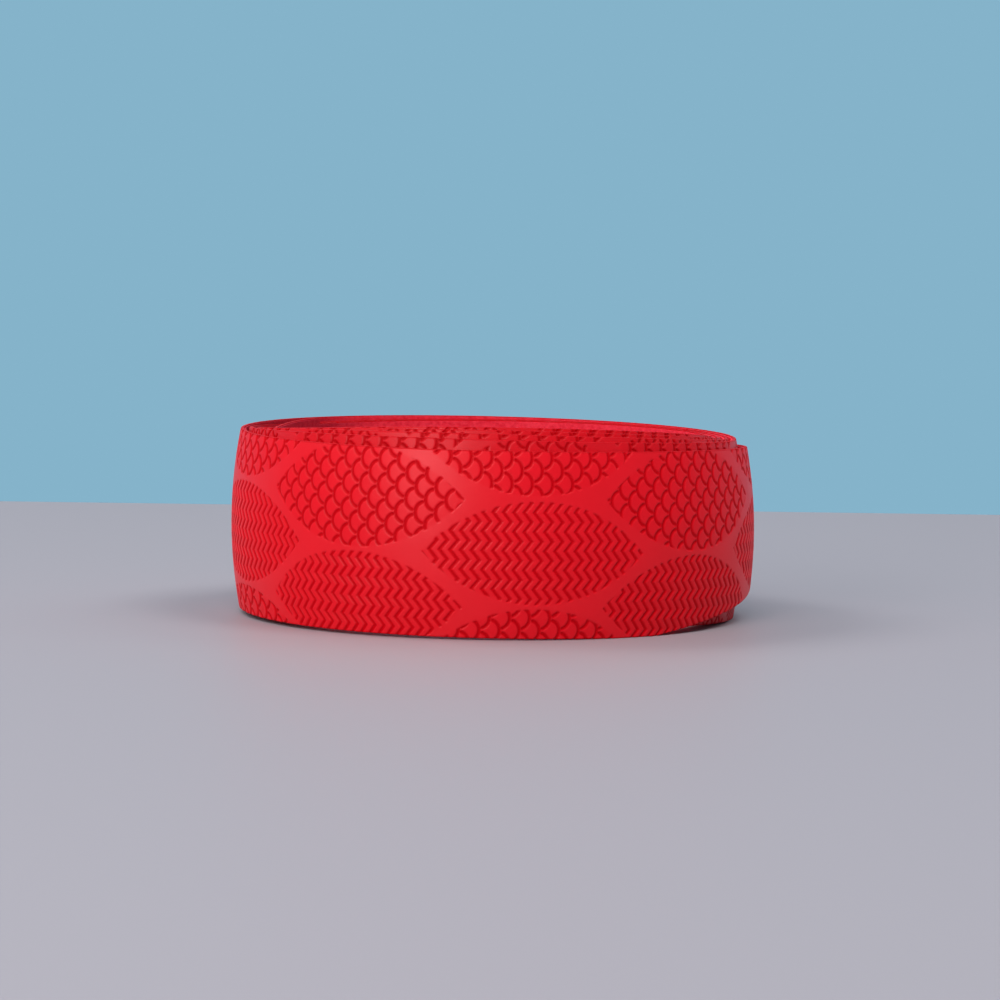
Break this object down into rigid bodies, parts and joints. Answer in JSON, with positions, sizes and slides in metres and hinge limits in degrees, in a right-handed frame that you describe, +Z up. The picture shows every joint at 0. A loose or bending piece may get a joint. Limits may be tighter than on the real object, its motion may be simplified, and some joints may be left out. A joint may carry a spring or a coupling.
{
  "type": "grip tape roll",
  "caption": "Embossed overgrip tape for a racket handle, wound loosely into an open coil, with a tapered outer end that lifts and a free inner end.",
  "frame": {"origin": "middle of the roll's footprint, on the surface it stands on", "axes": "+Z up along the coil's axis, -Y is the front, which shows the outer turn; seen from above the strip winds outwards counter-clockwise, and its outer end is at the back"},
  "size_m": [0.0732, 0.075, 0.028],
  "materials": {
    "grip_face": "soft red polyurethane, satin, embossed",
    "grip_backing": "red nonwoven, matt",
    "adhesive": "translucent acrylic adhesive",
    "liner": "white coated release paper"
  },
  "bodies": {
    "coil": {"grip_face": "grip_face", "grip_backing": "grip_backing"},
    "outer_end": {"outer_end_face": "grip_face", "outer_end_backing": "grip_backing", "adhesive_strip": "adhesive", "release_liner": "liner"},
    "inner_end": {"inner_end_face": "grip_face", "inner_end_backing": "grip_backing"}
  },
  "joints": [
    {"name": "outer_end_lift", "type": "hinge", "parent": "coil", "child": "outer_end", "pos_m": [0.0356, 0.0087, 0.0125], "axis": [0, 0, -1], "range_deg": [0, 45], "stiffness_Nm_per_rad": 0.0002},
    {"name": "inner_end_lean", "type": "hinge", "parent": "coil", "child": "inner_end", "pos_m": [-0.02917, -0.00865, 0.0125], "axis": [0, 0, -1], "range_deg": [0, 25], "stiffness_Nm_per_rad": 0.0001}
  ]
}
